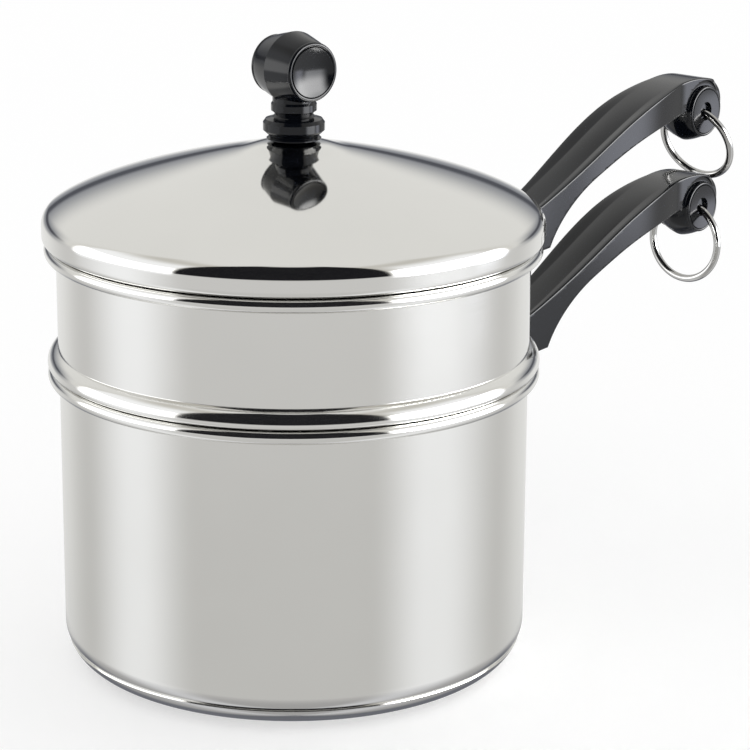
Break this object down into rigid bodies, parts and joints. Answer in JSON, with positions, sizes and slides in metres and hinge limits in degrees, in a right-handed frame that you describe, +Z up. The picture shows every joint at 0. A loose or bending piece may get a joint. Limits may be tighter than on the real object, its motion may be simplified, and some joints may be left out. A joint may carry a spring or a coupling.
{
  "type": "double boiler",
  "caption": "Double boiler: a stainless saucepan, a stepped insert seated on its rim and a domed lid, with black moulded handles, a barrel knob and free hanging rings.",
  "frame": {"origin": "centre of the base's flat underside, on the surface the saucepan stands on", "axes": "+Z up along the pans' common axis, +X from that axis along both handles towards their eyes, +Y to the left when looking along +X"},
  "size_m": [0.329, 0.17, 0.2177],
  "materials": {
    "polished_steel": "polished stainless sheet, faintly brushed around the wall",
    "bracket_steel": "plain pressed stainless",
    "ring_steel": "bright drawn wire",
    "aluminium": "bare, bonded between steel",
    "zinc_plated": "zinc plated",
    "brass": "turned",
    "black_phenolic": "polished moulded phenolic"
  },
  "bodies": {
    "saucepan": {"saucepan_body": "polished_steel", "heat_spreader": "aluminium", "base_cap": "polished_steel", "saucepan_bracket": "bracket_steel", "saucepan_weld_nut": "zinc_plated", "saucepan_handle": "black_phenolic", "saucepan_handle_screw": "zinc_plated", "saucepan_screw_washer": "zinc_plated"},
    "saucepan_ring": {"saucepan_hanging_ring": "ring_steel"},
    "insert": {"insert_body": "polished_steel", "insert_bracket": "bracket_steel", "insert_weld_nut": "zinc_plated", "insert_handle": "black_phenolic", "insert_handle_screw": "zinc_plated", "insert_screw_washer": "zinc_plated"},
    "insert_ring": {"insert_hanging_ring": "ring_steel"},
    "lid": {"lid_shell": "polished_steel", "lid_knob": "black_phenolic", "knob_thread_insert": "brass", "knob_screw": "zinc_plated", "knob_screw_washer": "zinc_plated"}
  },
  "joints": [
    {"name": "insert_lift", "type": "slide", "parent": "saucepan", "child": "insert", "axis": [0, 0, 1], "range_m": [0, 0.12]},
    {"name": "lid_lift", "type": "slide", "parent": "insert", "child": "lid", "axis": [0, 0, 1], "range_m": [0, 0.1]},
    {"name": "saucepan_ring_swing", "type": "hinge", "parent": "saucepan", "child": "saucepan_ring", "pos_m": [0.231, 0, 0.1206], "axis": [0, -1, 0], "range_deg": [-84, 142]},
    {"name": "insert_ring_swing", "type": "hinge", "parent": "insert", "child": "insert_ring", "pos_m": [0.231, 0, 0.1592], "axis": [0, -1, 0], "range_deg": [0, 213]}
  ]
}
